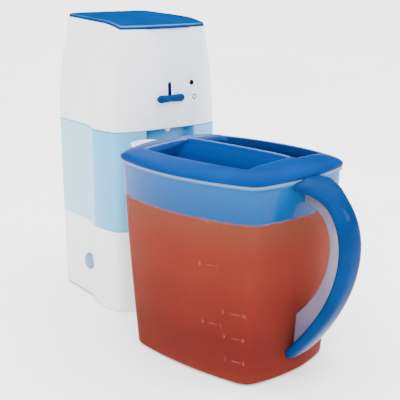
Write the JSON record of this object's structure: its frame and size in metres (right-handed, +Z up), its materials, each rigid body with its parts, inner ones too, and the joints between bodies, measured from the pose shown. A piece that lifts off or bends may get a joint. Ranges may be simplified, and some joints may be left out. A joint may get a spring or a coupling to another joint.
{
  "type": "iced tea maker",
  "caption": "Countertop iced tea maker: a brewing tower with a translucent water tank, hinged lid and strength lever, and a clear lidded pitcher with a loop handle.",
  "frame": {"origin": "on the table, under the middle of the box round the whole set: the tower stands behind and the pitcher in front of it", "axes": "+Z up, the front faces -Y, +X is to the right seen from the front"},
  "size_m": [0.1607, 0.39, 0.2975],
  "materials": {
    "white_plastic": "satin moulded",
    "blue_plastic": "glossy moulded",
    "pale_blue": "translucent frosted",
    "clear_plastic": "clear, glossy",
    "grey_blue": "satin",
    "dark_plastic": "matt",
    "rubber_grey": "matt",
    "silicone": "matt",
    "aluminium": "extruded",
    "steel": "plain"
  },
  "bodies": {
    "tower": {"base_housing": "white_plastic", "bottom_plate": "white_plastic", "rubber_feet": "rubber_grey", "base_screws": "steel", "heater_tube": "aluminium", "heater_element": "steel", "heater_bracket": "steel", "thermostat": "steel", "thermal_fuse": "white_plastic", "inlet_valve": "white_plastic", "inlet_valve_ball": "steel", "inlet_hose": "silicone", "outlet_hose": "silicone", "hose_clamps": "steel", "riser_tube": "silicone", "power_switch": "dark_plastic", "cord_bushing": "dark_plastic", "reservoir": "pale_blue", "reservoir_gasket": "rubber_grey", "button_spring": "steel"},
    "button": {"brew_button": "grey_blue"},
    "brew_unit": {"brew_housing": "white_plastic", "brew_basket": "white_plastic", "filter_screen": "grey_blue", "spray_arm": "white_plastic", "spray_head": "white_plastic", "valve_seat": "rubber_grey", "drip_nozzle": "white_plastic", "hinge_pin": "steel"},
    "lever": {"strength_lever": "blue_plastic", "valve_gate": "silicone"},
    "lid": {"tower_lid": "blue_plastic"},
    "pitcher": {"pitcher_body": "clear_plastic", "handle_grip": "blue_plastic"},
    "pitcher_cover": {"pitcher_lid": "blue_plastic"}
  },
  "joints": [
    {"name": "brew_button_press", "type": "slide", "parent": "tower", "child": "button", "axis": [1, 0, 0], "range_m": [0, 0.0025], "stiffness_N_per_m": 500, "deforming": ["button_spring"]},
    {"name": "brew_unit_lift", "type": "slide", "parent": "tower", "child": "brew_unit", "axis": [0, 0, 1], "range_m": [0, 0.1]},
    {"name": "strength_lever_slide", "type": "slide", "parent": "brew_unit", "child": "lever", "axis": [0, 0, 1], "range_m": [0, 0.014]},
    {"name": "tower_lid_hinge", "type": "hinge", "parent": "brew_unit", "child": "lid", "pos_m": [0.0145, 0.1888, 0.289], "axis": [-1, 0, 0], "range_deg": [0, 100]},
    {"name": "pitcher_lift", "type": "slide", "parent": "tower", "child": "pitcher", "axis": [0, 0, 1], "range_m": [0, 0.2]},
    {"name": "pitcher_lid_lift", "type": "slide", "parent": "pitcher", "child": "pitcher_cover", "axis": [0, 0, 1], "range_m": [0, 0.15]}
  ]
}
